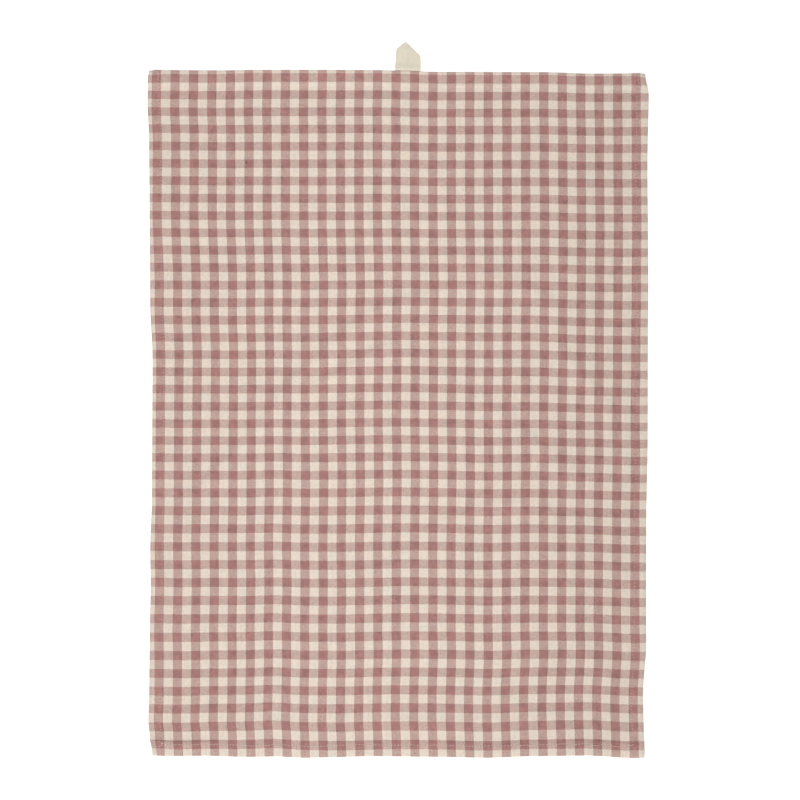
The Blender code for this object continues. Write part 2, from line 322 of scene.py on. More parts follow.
def cloth_plan(side, end):
    """Where a point lies in plan, from its places along the straight rectangle's width and length."""
    across = side / CLOTH_WIDTH
    along = end / CLOTH_LENGTH
    left = CLOTH_LEFT + inset(LEFT_EDGE, along)
    right = CLOTH_LEFT + CLOTH_WIDTH - inset(RIGHT_EDGE, along)
    bottom = CLOTH_BOTTOM + inset(BOTTOM_EDGE, across)
    top = top_edge(across)
    x, y = blend(left, right, across), blend(bottom, top, along)
    for corner in CORNERS:
        from_side = (side - corner.across * CLOTH_WIDTH) / (corner.side_reach_mm * MM)
        from_end = (end - corner.along * CLOTH_LENGTH) / (corner.end_reach_mm * MM)
        pull = MM * (1.0 - ease(np.hypot(from_side, from_end)))
        x = x + corner.right_mm * pull
        y = y + corner.up_mm * pull
    return x, y


def rounded_route(route):
    """A route's points with the corners between them cut off, so that it bends softly."""
    points = np.array(route, dtype=float)
    for _ in range(ROUTE_ROUNDS):
        early = (1.0 - ROUTE_CUT) * points[:-1] + ROUTE_CUT * points[1:]
        late = ROUTE_CUT * points[:-1] + (1.0 - ROUTE_CUT) * points[1:]
        between = np.stack((early, late), axis=1).reshape(-1, points.shape[1])
        points = np.vstack((points[:1], between, points[-1:]))
    return points


def crease_height(crease, x, y):
    """How high a crease lifts the cloth: gently up from the right of its route, steeply down over it."""
    nearest = np.full(np.shape(x), np.inf)
    beside = np.zeros(np.shape(x))
    strength = np.zeros(np.shape(x))
    stops = rounded_route(crease.route)
    for before, after in zip(stops, stops[1:]):
        way = (after - before)[:2] * MM
        across, up = x - before[0] * MM, y - before[1] * MM
        share = np.clip((across * way[0] + up * way[1]) / way.dot(way), 0.0, 1.0)
        across, up = across - share * way[0], up - share * way[1]
        distance = np.hypot(across, up)
        closer = distance < nearest
        nearest = np.where(closer, distance, nearest)
        beside = np.where(closer, np.copysign(distance, way[0] * up - way[1] * across), beside)
        strength = np.where(closer, blend(before[2], after[2], share), strength)
    past_top = beside / MM + crease.steep_mm / 2
    rise = ease(1.0 + past_top / crease.gentle_mm)
    fall = 1.0 - ease(past_top / crease.steep_mm)
    return crease.height_mm * MM * strength * rise * fall


def lifted_by(swell, x, y):
    """How high a swell lifts the cloth."""
    places = zip(np.ravel(x) / swell.length, np.ravel(y) / swell.length)
    values = [noise.noise(Vector((across, along, swell.seed))) for across, along in places]
    return swell.height * np.clip(swell.share + np.reshape(values, np.shape(x)), 0.0, None)


def over_tape(x, end):
    """How high the cloth's top hem lies over the ends of the tape."""
    beside = 1.0 - ease((np.abs(x - LOOP_CENTRE) - LOOP_HALF_WIDTH - TAPE_COVER_SIDE) / TAPE_RAMP)
    below = 1.0 - ease((CLOTH_LENGTH - end - TAPE_COVER_DEPTH) / TAPE_RAMP_END)
    return (TAPE_THICKNESS + 2 * TAPE_CLEARANCE) * beside * below


def lift(x, y, side, end):
    """How high the whole stack of cloth lies above the surface."""
    creases = np.max([crease_height(crease, x, y) for crease in CREASES], axis=0)
    to_edge = np.minimum(np.minimum(side, CLOTH_WIDTH - side), np.minimum(end, CLOTH_LENGTH - end))
    near_edge = 1.0 - ease(to_edge / HEM_REACH)
    uneven = lifted_by(CLOTH_SWELL, x, y) + near_edge * lifted_by(HEM_RIPPLE, x, y)
    return np.maximum(creases + uneven, over_tape(x, end))


# -------- The cloth --------

# A station is one grid line of the flat cut cloth. "flat" is its place there and "place" where it comes to
# lie once its hem is turned. Turning swings the cloth round the middle of a stack, "centre" stacks above
# the bottom of the hem, at a radius of "reach" stacks. "up" and "out" are where the swing has got to, and
# "level" is 1 on a hem and 0 where the cloth lies single.
Station = namedtuple("Station", "place flat centre reach up out level")


def past_hem(place, length, slope):
    """1 on a hem, and down to 0 over a slope beside it."""
    return 1.0 - ease((np.minimum(place, length - place) - HEM_WIDTH) / slope)


def face_station(place, length):
    """On the face. Beside a hem it lies on the hem's other two layers, and further in on the surface."""
    level = past_hem(place, length, HEM_SLOPE)
    one = np.ones_like(level)
    centre = blend(SINGLE_CENTRE, HEM_CENTRE, level)
    return Station(place, place, centre, 0.5 * one, one, 0.0 * one, level)


def hem_stations():
    """The stations beyond an edge, as distances in from it: round it, under, round again, in between."""
    stations = []
    for step in range(1, EDGE_TURN_STEPS + 1):
        angle = math.pi * step / EDGE_TURN_STEPS
        beyond = EDGE_TURN * step / EDGE_TURN_STEPS
        stations.append(Station(0.0, -beyond, HEM_CENTRE, 0.5, math.cos(angle), -math.sin(angle), 1.0))
    steps = round(HEM_WIDTH / HEM_SPACING)
    for step in range(1, steps + 1):
        place = HEM_WIDTH * step / steps
        stations.append(Station(place, -EDGE_TURN - place, HEM_CENTRE, 0.5, -1.0, 0.0, 1.0))
    under = EDGE_TURN + HEM_WIDTH
    for step in range(1, TUCK_TURN_STEPS + 1):
        share = step / TUCK_TURN_STEPS
        angle = math.pi * share
        beyond = under + TUCK_TURN * share
        stations.append(Station(HEM_WIDTH, -beyond, 1.0, 0.0, -math.cos(angle), math.sin(angle), 1.0))
    tucked = under + TUCK_TURN
    steps = round(HEM_TUCK / HEM_SPACING)
    for step in range(1, steps + 1):
        back = HEM_TUCK * step / steps
        stations.append(Station(HEM_WIDTH - back, -tucked - back, 1.0, 0.0, 1.0, 0.0, 1.0))
    return stations


def side_stations(length):
    """All stations along one direction of the cut cloth, from raw edge to raw edge, as arrays."""
    hem = hem_stations()
    low = hem[::-1]
    high = [s._replace(place=length - s.place, flat=length - s.flat, out=-s.out) for s in hem]
    inner = HEM_WIDTH + HEM_SLOPE
    near = np.concatenate((
        np.linspace(0.0, HEM_WIDTH, round(HEM_WIDTH / HEM_SPACING), endpoint=False),
        np.linspace(HEM_WIDTH, inner, SLOPE_STEPS, endpoint=False),
    ))
    body = np.linspace(inner, length - inner, round((length - 2 * inner) / BODY_SPACING) + 1)
    face = face_station(np.concatenate((near, body, length - near[::-1])), length)
    columns = []
    for field in range(len(Station._fields)):
        columns.append(np.array([s[field] for s in low] + list(face[field]) + [s[field] for s in high]))
    return Station(*columns)


def beside_hem(place, length):
    """What a slow way down from a hem has over the usual one."""
    return past_hem(place, length, CORNER_SLOPE) - past_hem(place, length, HEM_SLOPE)


def corner_bridges(side, end):
    """How high a hem's layers lie above the surface together, as they come down from a thick corner."""
    from_end = beside_hem(end.place, CLOTH_LENGTH)
    from_side = beside_hem(side.place, CLOTH_WIDTH)
    return BRIDGE_HEIGHT * (side.level * from_end + end.level * from_side)


def lay_cloth(side, end):
    """The points of the cloth's middle surface, from its stations across and up."""
    turned_side = (side.reach + 0.5) * LAYER
    height = side.centre * LAYER + side.up * turned_side
    side_place = side.place + side.out * turned_side
    stack = LAYER * (1.0 + 2.0 * side.level)
    turned_end = end.reach * stack + height
    # Where the side hems make the stack thicker, it is drawn in by what its turn stands out further.
    to_end = np.minimum(end.place, CLOTH_LENGTH - end.place)
    inward = np.where(end.place < CLOTH_LENGTH / 2, 1.0, -1.0)
    drawn_in = STACK_GROWTH * (stack - LAYER) * (1.0 - ease(to_end / HEM_REACH))
    end_place = end.place + inward * drawn_in + end.out * turned_end
    z = end.centre * stack + end.up * turned_end
    x, y = cloth_plan(side_place, end_place)
    return x, y, z + corner_bridges(side, end) + lift(x, y, side_place, end_place)


def warp_count(side_flat, end_flat):
    """How many repeats of the warp's stripes lie left of a point."""
    shift = drift(WARP_DRIFT, WARP_PLACES, side_flat / CLOTH_WIDTH, end_flat / CLOTH_LENGTH)
    return (side_flat - WARP_MARGIN - shift) / WARP_REPEAT


def weft_count(side_flat, end_flat):
    """How many repeats of the weft's stripes lie above a point."""
    share = np.linspace(-WEFT_OVERRUN, 1.0 + WEFT_OVERRUN, WEFT_SAMPLES)
    depth = WEFT_MARGIN + WEFT_RUN * share + WEFT_SPREAD * share**WEFT_SPREAD_POWER
    shift = drift(WEFT_DRIFT, WEFT_PLACES, side_flat / CLOTH_WIDTH, end_flat / CLOTH_LENGTH)
    return WEFT_STRIPES * np.interp(CLOTH_LENGTH - end_flat - shift, depth, share)


def add_uv(mesh, name, u, v):
    """A UV map from one pair of values for each vertex."""
    layer = mesh.uv_layers.new(name=name)
    corners = np.empty(len(mesh.loops), dtype=np.int32)
    mesh.loops.foreach_get("vertex_index", corners)
    layer.data.foreach_set("uv", np.column_stack((np.ravel(u)[corners], np.ravel(v)[corners])).ravel())


def grid_mesh(name, x, y, z):
    """A sheet of quads through points in rows and columns."""
    rows, columns = x.shape
    bm = bmesh.new()
    bmesh.ops.create_grid(bm, x_segments=columns - 1, y_segments=rows - 1, size=0.5)
    mesh = bpy.data.meshes.new(name)
    bm.to_mesh(mesh)
    bm.free()
    mesh.vertices.foreach_set("co", np.column_stack((x.ravel(), y.ravel(), z.ravel())).ravel())
    mesh.update()
    mesh.shade_smooth()
    return mesh


def show(mesh, material):
    """A new piece of the towel with its material, named as its mesh is."""
    piece = bpy.data.objects.new(mesh.name, mesh)
    bpy.context.scene.collection.objects.link(piece)
    mesh.materials.append(material)
    return piece


def apply_modifiers(piece):
    """Replaces the mesh by what its modifiers make of it."""
    evaluated = piece.evaluated_get(bpy.context.evaluated_depsgraph_get())
    final = bpy.data.meshes.new_from_object(evaluated)
    old = piece.data
    piece.modifiers.clear()
    piece.data = final
    bpy.data.meshes.remove(old)


def thicken(piece, thickness):
    """Gives a sheet its thickness, half of it to each side."""
    solidify = piece.modifiers.new("thickness", "SOLIDIFY")
    solidify.thickness = thickness
    solidify.offset = 0.0


def make_cloth(material):
    sides = side_stations(CLOTH_WIDTH)
    ends = side_stations(CLOTH_LENGTH)
    shape = (len(ends.place), len(sides.place))
    side = Station(*(np.broadcast_to(values[None, :], shape) for values in sides))
    end = Station(*(np.broadcast_to(values[:, None], shape) for values in ends))
    x, y, z = lay_cloth(side, end)
    mesh = grid_mesh("towel_cloth_woven", x, y, z)
    add_uv(mesh, "weave", warp_count(side.flat, end.flat), weft_count(side.flat, end.flat))
    add_uv(mesh, "places", side.place / MM, end.place / MM)
    cloth = show(mesh, material)
    thicken(cloth, CLOTH_THICKNESS)
    apply_modifiers(cloth)
    return cloth


# -------- The seams --------


def fixed_station(place, length, face):
    """Stations for single points: on the face, or on the hem's underside."""
    top = face_station(place, length)
    if face:
        return top
    on_hem = np.minimum(place, length - place) < HEM_WIDTH
    centre = np.where(on_hem, HEM_CENTRE, top.centre)
    return top._replace(centre=centre, up=np.where(on_hem, -1.0, 1.0))


def tube_mesh(name, paths, radii, sides):
    """One mesh of short tubes. Paths hold points as tube, ring and axis, and radii one radius a ring."""
    tubes, rings, _ = paths.shape
    ahead = np.gradient(paths, axis=1)
    ahead /= np.linalg.norm(ahead, axis=2, keepdims=True)
    level = np.cross(ahead, np.array((0.0, 0.0, 1.0)))
    level /= np.linalg.norm(level, axis=2, keepdims=True)
    upward = np.cross(level, ahead)
    angles = np.arange(sides) * 2.0 * math.pi / sides
    ring = np.cos(angles)[None, None, :, None] * level[:, :, None, :]
    ring = ring + np.sin(angles)[None, None, :, None] * upward[:, :, None, :]
    points = paths[:, :, None, :] + radii[:, :, None, None] * ring
    start = np.arange(tubes)[:, None, None] * rings * sides
    here = np.arange(sides)[None, None, :]
    following = (here + 1) % sides
    first = start + np.arange(rings - 1)[None, :, None] * sides
    second = first + sides
    quads = np.stack((first + here, first + following, second + following, second + here), axis=-1)
    near_caps = start[:, :, 0] + np.arange(sides)[None, ::-1]
    far_caps = start[:, :, 0] + (rings - 1) * sides + np.arange(sides)[None, :]
    faces = quads.reshape(-1, 4).tolist() + near_caps.tolist() + far_caps.tolist()
    mesh = bpy.data.meshes.new(name)
    mesh.from_pydata(points.reshape(-1, 3).tolist(), [], faces)
    mesh.shade_smooth()
    along = np.broadcast_to(np.linspace(0.0, 1.0, rings)[None, :, None], (tubes, rings, sides))
    around = np.broadcast_to(np.linspace(0.0, 1.0, sides)[None, None, :], (tubes, rings, sides))
    number = np.broadcast_to(np.arange(tubes)[:, None, None], (tubes, rings, sides))
    add_uv(mesh, "thread", number + along, around)
    return mesh


def stitches_on(side_places, end_places, face, sunk):
    """The paths of stitches, from a row of places for each. Their ends dip into the cloth."""
    side = fixed_station(side_places, CLOTH_WIDTH, face)
    end = fixed_station(end_places, CLOTH_LENGTH, face)
    x, y, z = lay_cloth(side, end)
    surface = CLOTH_THICKNESS / 2 - sunk
    if face:
        z = z + surface + STITCH_RISE
    else:
        z = z - surface - STITCH_RISE - over_tape(x, end_places)
    return np.stack((x, y, z), axis=-1)


def stitch_run(length):
    """How many stitches a seam has between the seams that cross it, and how far apart they start."""
    run = length - 2 * SEAM_INSET
    count = round(run / STITCH_PITCH)
    return count, run / count


def seam_places(seam, face, random):
    """The places along and beside each stitch of a seam at its steps, with its unevenness."""
    length, other = (CLOTH_WIDTH, CLOTH_LENGTH) if seam.level else (CLOTH_LENGTH, CLOTH_WIDTH)
    count, pitch = stitch_run(length)
    steps = np.arange(count) + STITCH_UNEVEN * random.standard_normal(count) + (0.0 if face else 0.5)
    along = (SEAM_INSET + pitch * steps)[:, None] + STITCH_LENGTH * STITCH_STEPS
    swaying = seam.sway_mm * ease((along / length - SWAY_START) / SWAY_RISE) * np.sin(along / SWAY_LENGTH)
    waving = np.sin(along[:, :1] * SEAM_WAVE_RATE + other * SEAM_WAVE_APART)
    beside = SEAM_WAVE_MM * waving + swaying
    starts = seam.shake_mm * random.standard_normal((count + 1, 1))
    beside = (beside + blend(starts[:-1], starts[1:], STITCH_STEPS)) * MM
    return along, (other - SEAM_INSET if seam.far else SEAM_INSET) + beside


def from_edge(places_mm, length):
    """Places that are measured from the near edge, or where they are negative from the far edge."""
    places = np.array(places_mm)[:, None] * MM
    return np.where(places < 0.0, places + length, places)


def make_seams(material):
    """Four seams with their extra stitches, shown by the thread on the face and on the underside."""
    random = np.random.default_rng(STITCH_SEED)
    paths, radii = [], []
    for seam in SEAMS:
        for face in (True, False):
            along, beside = seam_places(seam, face, random)
            places = (along, beside) if seam.level else (beside, along)
            paths.append(stitches_on(*places, face, seam.sunk_mm * MM))
            radii.append(np.full(len(along), seam.radius_mm * MM))
    tacks = Tack(*zip(*TACKS))
    starts = (from_edge(tacks.side_mm, CLOTH_WIDTH), from_edge(tacks.end_mm, CLOTH_LENGTH))
    ends = (from_edge(tacks.to_side_mm, CLOTH_WIDTH), from_edge(tacks.to_end_mm, CLOTH_LENGTH))
    places = [blend(start, end, STITCH_STEPS) for start, end in zip(starts, ends)]
    paths.append(stitches_on(*places, True, 0.0))
    radii.append(np.full(len(TACKS), TACK_RADIUS))
    radii = np.concatenate(radii)[:, None] * STITCH_TAPER
    mesh = tube_mesh("hem_stitching", np.concatenate(paths), radii, STITCH_SIDES)
    return show(mesh, material)


# -------- The hanging loop --------


def turn_over(point, corner, outward, from_height, to_height):
    """Rolls what lies beyond a fold line over a round turn, so that it comes back at another height."""
    distance = (point - corner).dot(outward)
    if distance <= 0.0:
        return point
    on_line = point - distance * outward
    half_turn = math.pi * TURN_RADIUS
    if distance < half_turn:
        angle = distance / TURN_RADIUS
        height = blend(from_height, to_height, (1.0 - math.cos(angle)) / 2)
        point = on_line + TURN_RADIUS * math.sin(angle) * outward
    else:
        height = to_height
        point = on_line - (distance - half_turn) * outward
    return Vector((point.x, point.y, height))


def settle_tape(point):
    """Closes up the legs below their folds, rounds the shoulders, lifts the left one, leans the tip."""
    x, y, z = point
    if z <= 0.0:
        below_fold = SHOULDER_Y + TAPE_WIDTH + TIP_WIDTH / 2 - abs(x) - y
        inner = blend(TIP_WIDTH, SLIT_WIDTH, ease(below_fold / (SLIT_SHARE * TAPE_WIDTH))) / 2
        widened = (LOOP_HALF_WIDTH - inner + TAPE_EDGE_LOSS) / TAPE_WIDTH
        x = math.copysign(1.0, x) * (LOOP_HALF_WIDTH - (LOOP_HALF_WIDTH - abs(x)) * widened)
    to_shoulder = math.hypot(LOOP_HALF_WIDTH - abs(x), y - SHOULDER_Y)
    rounded = SHOULDER_ROUNDING * max(0.0, 1.0 - to_shoulder / SHOULDER_REACH) ** 2
    x -= math.copysign(rounded * math.cos(SHOULDER_SLANT), x)
    y -= rounded * math.sin(SHOULDER_SLANT)
    leaned = x - TIP_LEAN * ease((y - SHOULDER_Y) / TAPE_WIDTH)
    y -= TIP_FLATTENED * max(0.0, y - SHOULDER_Y)
    towards_left = (LOOP_HALF_WIDTH - x) / (2 * LOOP_HALF_WIDTH)
    rise_share = ease((y - LEFT_RISE_START_Y) / (SHOULDER_Y - LEFT_RISE_START_Y))
    risen = y + LEFT_SHOULDER_RISE * towards_left * rise_share
    spread = FOOT_SPREAD * towards_left * ease((SHOULDER_Y - y) / (SHOULDER_Y - FOOT_Y))
    place = LOOP_CENTRE + leaned - spread
    outside = risen - top_edge((place - CLOTH_LEFT) / CLOTH_WIDTH) - FOOT_SPRING_START
    springing = ease(outside / FOOT_SPRING_RISE) - ease((outside - FOOT_SPRING_RISE) / FOOT_SPRING_FALL)
    return place, risen, z + TAPE_THICKNESS / 2 + FOOT_SPRING * springing


def tape_lines(offset):
    """The places along the tape, at an offset from its middle, where its cross lines fall."""
    first_turn = SHOULDER_Y + TAPE_WIDTH / 2 + offset
    turn_length = math.pi * TURN_RADIUS * math.sqrt(2.0)
    between = 2 * (TAPE_WIDTH / 2 - offset) + TIP_WIDTH - turn_length
    second_turn = first_turn + turn_length + between
    end = second_turn + turn_length + (first_turn - TAPE_END_Y)
    stretches = (
        (TAPE_END_Y, first_turn, TAPE_LEG_STEPS),
        (first_turn, first_turn + turn_length, TAPE_TURN_STEPS),
        (first_turn + turn_length, second_turn, TAPE_TOP_STEPS),
        (second_turn, second_turn + turn_length, TAPE_TURN_STEPS),
        (second_turn + turn_length, end, TAPE_LEG_STEPS),
    )
    lines = [TAPE_END_Y]
    for low, high, steps in stretches:
        lines += [blend(low, high, (i + 1) / steps) for i in range(steps)]
    return lines


def make_hanging_loop(material):
    """The tape: up the left leg, over to the right at the first turn, and down at the second."""
    left_outward = Vector((-1.0, 1.0, 0.0)).normalized()
    right_outward = Vector((1.0, 1.0, 0.0)).normalized()
    left_corner = Vector((-TIP_WIDTH / 2, SHOULDER_Y + TAPE_WIDTH, 0.0))
    right_corner = Vector((TIP_WIDTH / 2, SHOULDER_Y + TAPE_WIDTH, 0.0))
    upper = 2 * TURN_RADIUS
    steps = range(TAPE_ACROSS_STEPS + 1)
    offsets = [-TAPE_WIDTH / 2 * math.cos(math.pi * step / TAPE_ACROSS_STEPS) for step in steps]
    points, across, along = [], [], []
    for places in zip(*(tape_lines(offset) for offset in offsets)):
        for offset, place in zip(offsets, places):
            flat = Vector((offset - (TAPE_WIDTH + TIP_WIDTH) / 2, place, 0.0))
            over = turn_over(flat, left_corner, left_outward, 0.0, upper)
            if over.z >= upper:
                over = turn_over(over, right_corner, right_outward, upper, 0.0)
            points.append(settle_tape(over))
            across.append(offset / MM)
            along.append(place / MM)
    grid = np.array(points).reshape(-1, len(offsets), 3)
    mesh = grid_mesh("hanging_loop_tape", *np.moveaxis(grid, 2, 0))
    add_uv(mesh, "weave", across, along)
    loop = show(mesh, material)
    thicken(loop, TAPE_THICKNESS)
    round_off = loop.modifiers.new("rounding", "SUBSURF")
    round_off.levels = 1
    round_off.render_levels = 1
    apply_modifiers(loop)
    return loop


# -------- Materials --------

ROSE = (0.367, 0.175, 0.160, 1.0)
CREAM = (0.760, 0.658, 0.558, 1.0)
TAPE_CREAM = (0.750, 0.690, 0.563, 1.0)
THREAD_CREAM = (0.74, 0.63, 0.54, 1.0)
WHITE = (1.0, 1.0, 1.0, 1.0)

# What is uneven: how fast it changes across and along, about how much it strays each way, and its seed.
Uneven = namedtuple("Uneven", "across along strength seed")
WARP_WANDER = Uneven(2.0, 11.0, 0.018, 6.1)  # of its threads' places, in repeats
WEFT_WANDER = Uneven(11.0, 2.0, 0.018, 8.3)
SLUBS = Uneven(0.38, 9.5, 0.75, 0.0)  # short thick and thin places along each yarn
YARN_CHANGE = Uneven(0.83, 0.35, 0.5, 3.0)  # a slow change that each yarn has of its own
MOTTLE = Uneven(3.0, 3.0, 0.05, 4.4)
DYE = Uneven(1.9, 1.9, 0.03, 7.7)  # towards red and away from blue
TAPE_STREAKS = Uneven(2.0, 0.2, 1.0, 1.3)
THREAD_STREAKS = Uneven(1.3, 1.0, 1.0, 5.7)
WARP_SEED = 2.3
WEFT_SEED = 9.6

# The weave. A thread's height comes from its way over and under the others and from its round back.
WAVE_HEIGHT = 0.5
BACK_HEIGHT = 0.6
YARN_HEIGHT = 0.05  # what a thick place adds
WARP_SHOWS = 0.175  # how much more of the warp shows on the face
SHOW_THROUGH = 0.20  # how far a rose thread tints the cream thread that lies on it
CLOTH_BUMP = (0.00012, 0.6)  # the height of 1 in metres, and how strongly it tells

# How light and dark the cloth is, with its painted light and shade. A pair of numbers is a factor and a
# start.
WARP_CONTRAST = (0.16, 0.18)  # of light and dark along a yarn, by how rose it is
WEFT_CONTRAST = (0.22, 0.14)
CHECK_CONTRAST = 0.03  # what it gains where both yarns are rose
ROSE_MOTTLE = (1.7, 0.33)  # of the mottling, by how rose the yarn on top is
CHECK_MOTTLE = 1.2  # what it gains where both yarns are rose
HEM_PAINTED_LIGHT = 0.055  # painted light: how much lighter rose yarn is painted on the three layers of the side and top hems
HEIGHT_SHADE = (0.35, 0.72)  # between threads, by height
GROOVE_FALL = 1.1  # what a seam's groove loses for each millimetre beside its middle
GROOVE_DEPTH = 0.8
GROOVE_SHADE = 0.04
NEEDLE_RADIUS_MM = 0.55
NEEDLE_SHADE = 0.6
FIBRE_PLACE_MM = (98.3, 602.0)  # of one dark fibre, from the left and the bottom edge
FIBRE_SIZE_MM = (1.1, 1.5)
FIBRE_SHADE = 0.85
CLOTH_ROUGHNESS = (0.04, 0.66)  # by how light the yarn is

# The tape and the thread. A rate is for each millimetre of the tape, and for each stitch or time round.
TAPE_RIBS = 1.6
TAPE_RIB_HEIGHT = 0.5
TAPE_STRANDS = 2.2
TAPE_STRAND_HEIGHT = 0.25
TAPE_BUMP = (0.0001, 0.6)
# Painted shade in the hollows of the tape's ribs and strands, and painted light on their tops, by height.
TAPE_RIB_SHADE = 0.06
TAPE_TONE = (0.05, 0.97)
TAPE_ROUGHNESS = (0.04, 0.85)
THREAD_TWISTS = 5.0
THREAD_PLIES = 2.0
THREAD_BUMP = (0.00005, 0.5)
# Painted shade between the thread's plies, and painted light on them.
THREAD_PLY_SHADE = 0.08
THREAD_TONE = (0.06, 0.95)


class Graph:
    """A material's nodes, with short ways to add what these materials need."""

    def __init__(self, name):
        self.material = bpy.data.materials.new(name)
        self.material.use_nodes = True
        self.tree = self.material.node_tree

    def node(self, kind, **settings):
        node = self.tree.nodes.new(kind)
        for name, value in settings.items():
            setattr(node, name, value)
        return node

    def feed(self, socket, value):
        """Links a socket to another, or sets it to a value."""
        if isinstance(value, bpy.types.NodeSocket):
            self.tree.links.new(value, socket)
        else:
            socket.default_value = value

    def surface(self, **values):
        """The material, with its shader's sockets fed. Their names have _ for each space."""
        for name, value in values.items():
            self.feed(self.tree.nodes["Principled BSDF"].inputs[name.replace("_", " ")], value)
        return self.material

    def math(self, operation, *values):
        node = self.node("ShaderNodeMath", operation=operation)
        for socket, value in zip(node.inputs, values):
            self.feed(socket, value)
        return node.outputs[0]

    def plus(self, first, second):
        return self.math("ADD", first, second)

    def minus(self, first, second):
        return self.math("SUBTRACT", first, second)

    def times(self, first, second):
        return self.math("MULTIPLY", first, second)

    def scaled(self, value, factor, start):
        """A value times a factor, on top of a start."""
        return self.math("MULTIPLY_ADD", value, factor, start)

    def squared(self, value):
        return self.math("POWER", value, 2.0)

    def waves(self, value, rate=1.0):
        """A sine with as many waves for each unit of the value as the rate says."""
        return self.math("SINE", self.times(value, 2.0 * math.pi * rate))

    def mix(self, share, first, second, blend_type="MIX"):
        """Two colours mixed. The node's sockets 6 and 7 and its output 2 are the ones for colour."""
        node = self.node("ShaderNodeMix", data_type="RGBA", blend_type=blend_type)
        self.feed(node.inputs["Factor"], share)
        self.feed(node.inputs[6], first)
        self.feed(node.inputs[7], second)
        return node.outputs[2]

    def tinted(self, colour, red, green, blue):
        """A colour with its channels multiplied by numbers."""
        tint = self.node("ShaderNodeCombineColor")
        for channel, value in (("Red", red), ("Green", green), ("Blue", blue)):
            self.feed(tint.inputs[channel], value)
        return self.mix(1.0, colour, tint.outputs[0], "MULTIPLY")

    def toned(self, colour, tone):
        """A colour made lighter or darker by a number."""
        return self.tinted(colour, tone, tone, tone)

    def uv(self, name):
        parts = self.node("ShaderNodeSeparateXYZ")
        self.feed(parts.inputs[0], self.node("ShaderNodeUVMap", uv_map=name).outputs["UV"])
        return parts.outputs["X"], parts.outputs["Y"]

    def noise(self, x, y, uneven, seed=0.0):
        """Noise round 0, about as high each way as its strength."""
        place = self.node("ShaderNodeCombineXYZ")
        self.feed(place.inputs["X"], self.times(x, uneven.across))
        self.feed(place.inputs["Y"], self.times(y, uneven.along))
        self.feed(place.inputs["Z"], uneven.seed + seed)
        node = self.node("ShaderNodeTexNoise")
        self.feed(node.inputs["Scale"], 1.0)
        self.feed(node.inputs["Vector"], place.outputs[0])
        return self.times(self.minus(node.outputs["Fac"], 0.5), 4.0 * uneven.strength)

    def bump(self, height, scale):
        node = self.node("ShaderNodeBump")
        for name, value in (("Height", height), ("Distance", scale[0]), ("Strength", scale[1])):
            self.feed(node.inputs[name], value)
        return node.outputs["Normal"]


def thread_height(graph, place, along, number):
    """How high a thread lies, from the place across it in threads and the place along it in crossings."""
    phase = graph.plus(graph.minus(along, 0.5), number)
    wave = graph.math("COSINE", graph.times(phase, math.pi))
    from_middle = graph.times(graph.minus(graph.math("FRACT", place), 0.5), 2.0)
    back = graph.minus(1.0, graph.times(from_middle, from_middle))
    return graph.plus(graph.times(wave, WAVE_HEIGHT), graph.times(back, BACK_HEIGHT))


def yarn(graph, number, along, seed):
    """How thick or light a yarn is along its length."""
    slubs = graph.noise(number, along, SLUBS, seed)
    return graph.plus(slubs, graph.noise(number, along, YARN_CHANGE, seed))


def to_nearest_edge(graph, place, length):
    return graph.math("MINIMUM", place, graph.minus(length / MM, place))


def seam_marks(graph):
    """The groove of the seams and the needle's holes in it, each 1 in its middle and 0 beside it. The
    cloth is painted darker on both, as painted shade.
    """
    side, end = graph.uv("places")
    groove, holes = 0.0, 0.0
    gap = (STITCH_PITCH - STITCH_LENGTH) / 2 / MM
    runs = ((side, CLOTH_WIDTH, end, CLOTH_LENGTH), (end, CLOTH_LENGTH, side, CLOTH_WIDTH))
    for place, length, along, run in runs:
        from_seam = graph.minus(to_nearest_edge(graph, place, length), SEAM_INSET / MM)
        beside = graph.math("ABSOLUTE", from_seam)
        groove = graph.math("MAXIMUM", groove, graph.scaled(beside, -GROOVE_FALL, 1.0))
        pitch = stitch_run(run)[1] / MM
        steps = graph.math("DIVIDE", graph.plus(along, gap - SEAM_INSET / MM), pitch)
        from_hole = graph.times(graph.math("PINGPONG", steps, 0.5), pitch)
        away = graph.math("SQRT", graph.plus(graph.squared(from_hole), graph.squared(beside)))
        holes = graph.math("MAXIMUM", holes, graph.scaled(away, -1.0 / NEEDLE_RADIUS_MM, 1.0))
    return groove, holes


def on_hem_with_painted_light(graph):
    """1 on the hems of both sides and of the top, where the cloth gets painted light, and 0 elsewhere."""
    side, end = graph.uv("places")
    from_top = graph.minus(CLOTH_LENGTH / MM, end)
    nearest = graph.math("MINIMUM", to_nearest_edge(graph, side, CLOTH_WIDTH), from_top)
    return graph.math("LESS_THAN", nearest, HEM_WIDTH / MM)


def dark_fibre(graph):
    """1 on one short dark fibre that was spun into the yarn, and 0 elsewhere."""
    away = 0.0
    for place, middle, size in zip(graph.uv("places"), FIBRE_PLACE_MM, FIBRE_SIZE_MM):
        away = graph.plus(away, graph.squared(graph.math("DIVIDE", graph.minus(place, middle), size)))
    return graph.math("MAXIMUM", graph.minus(1.0, away), 0.0)


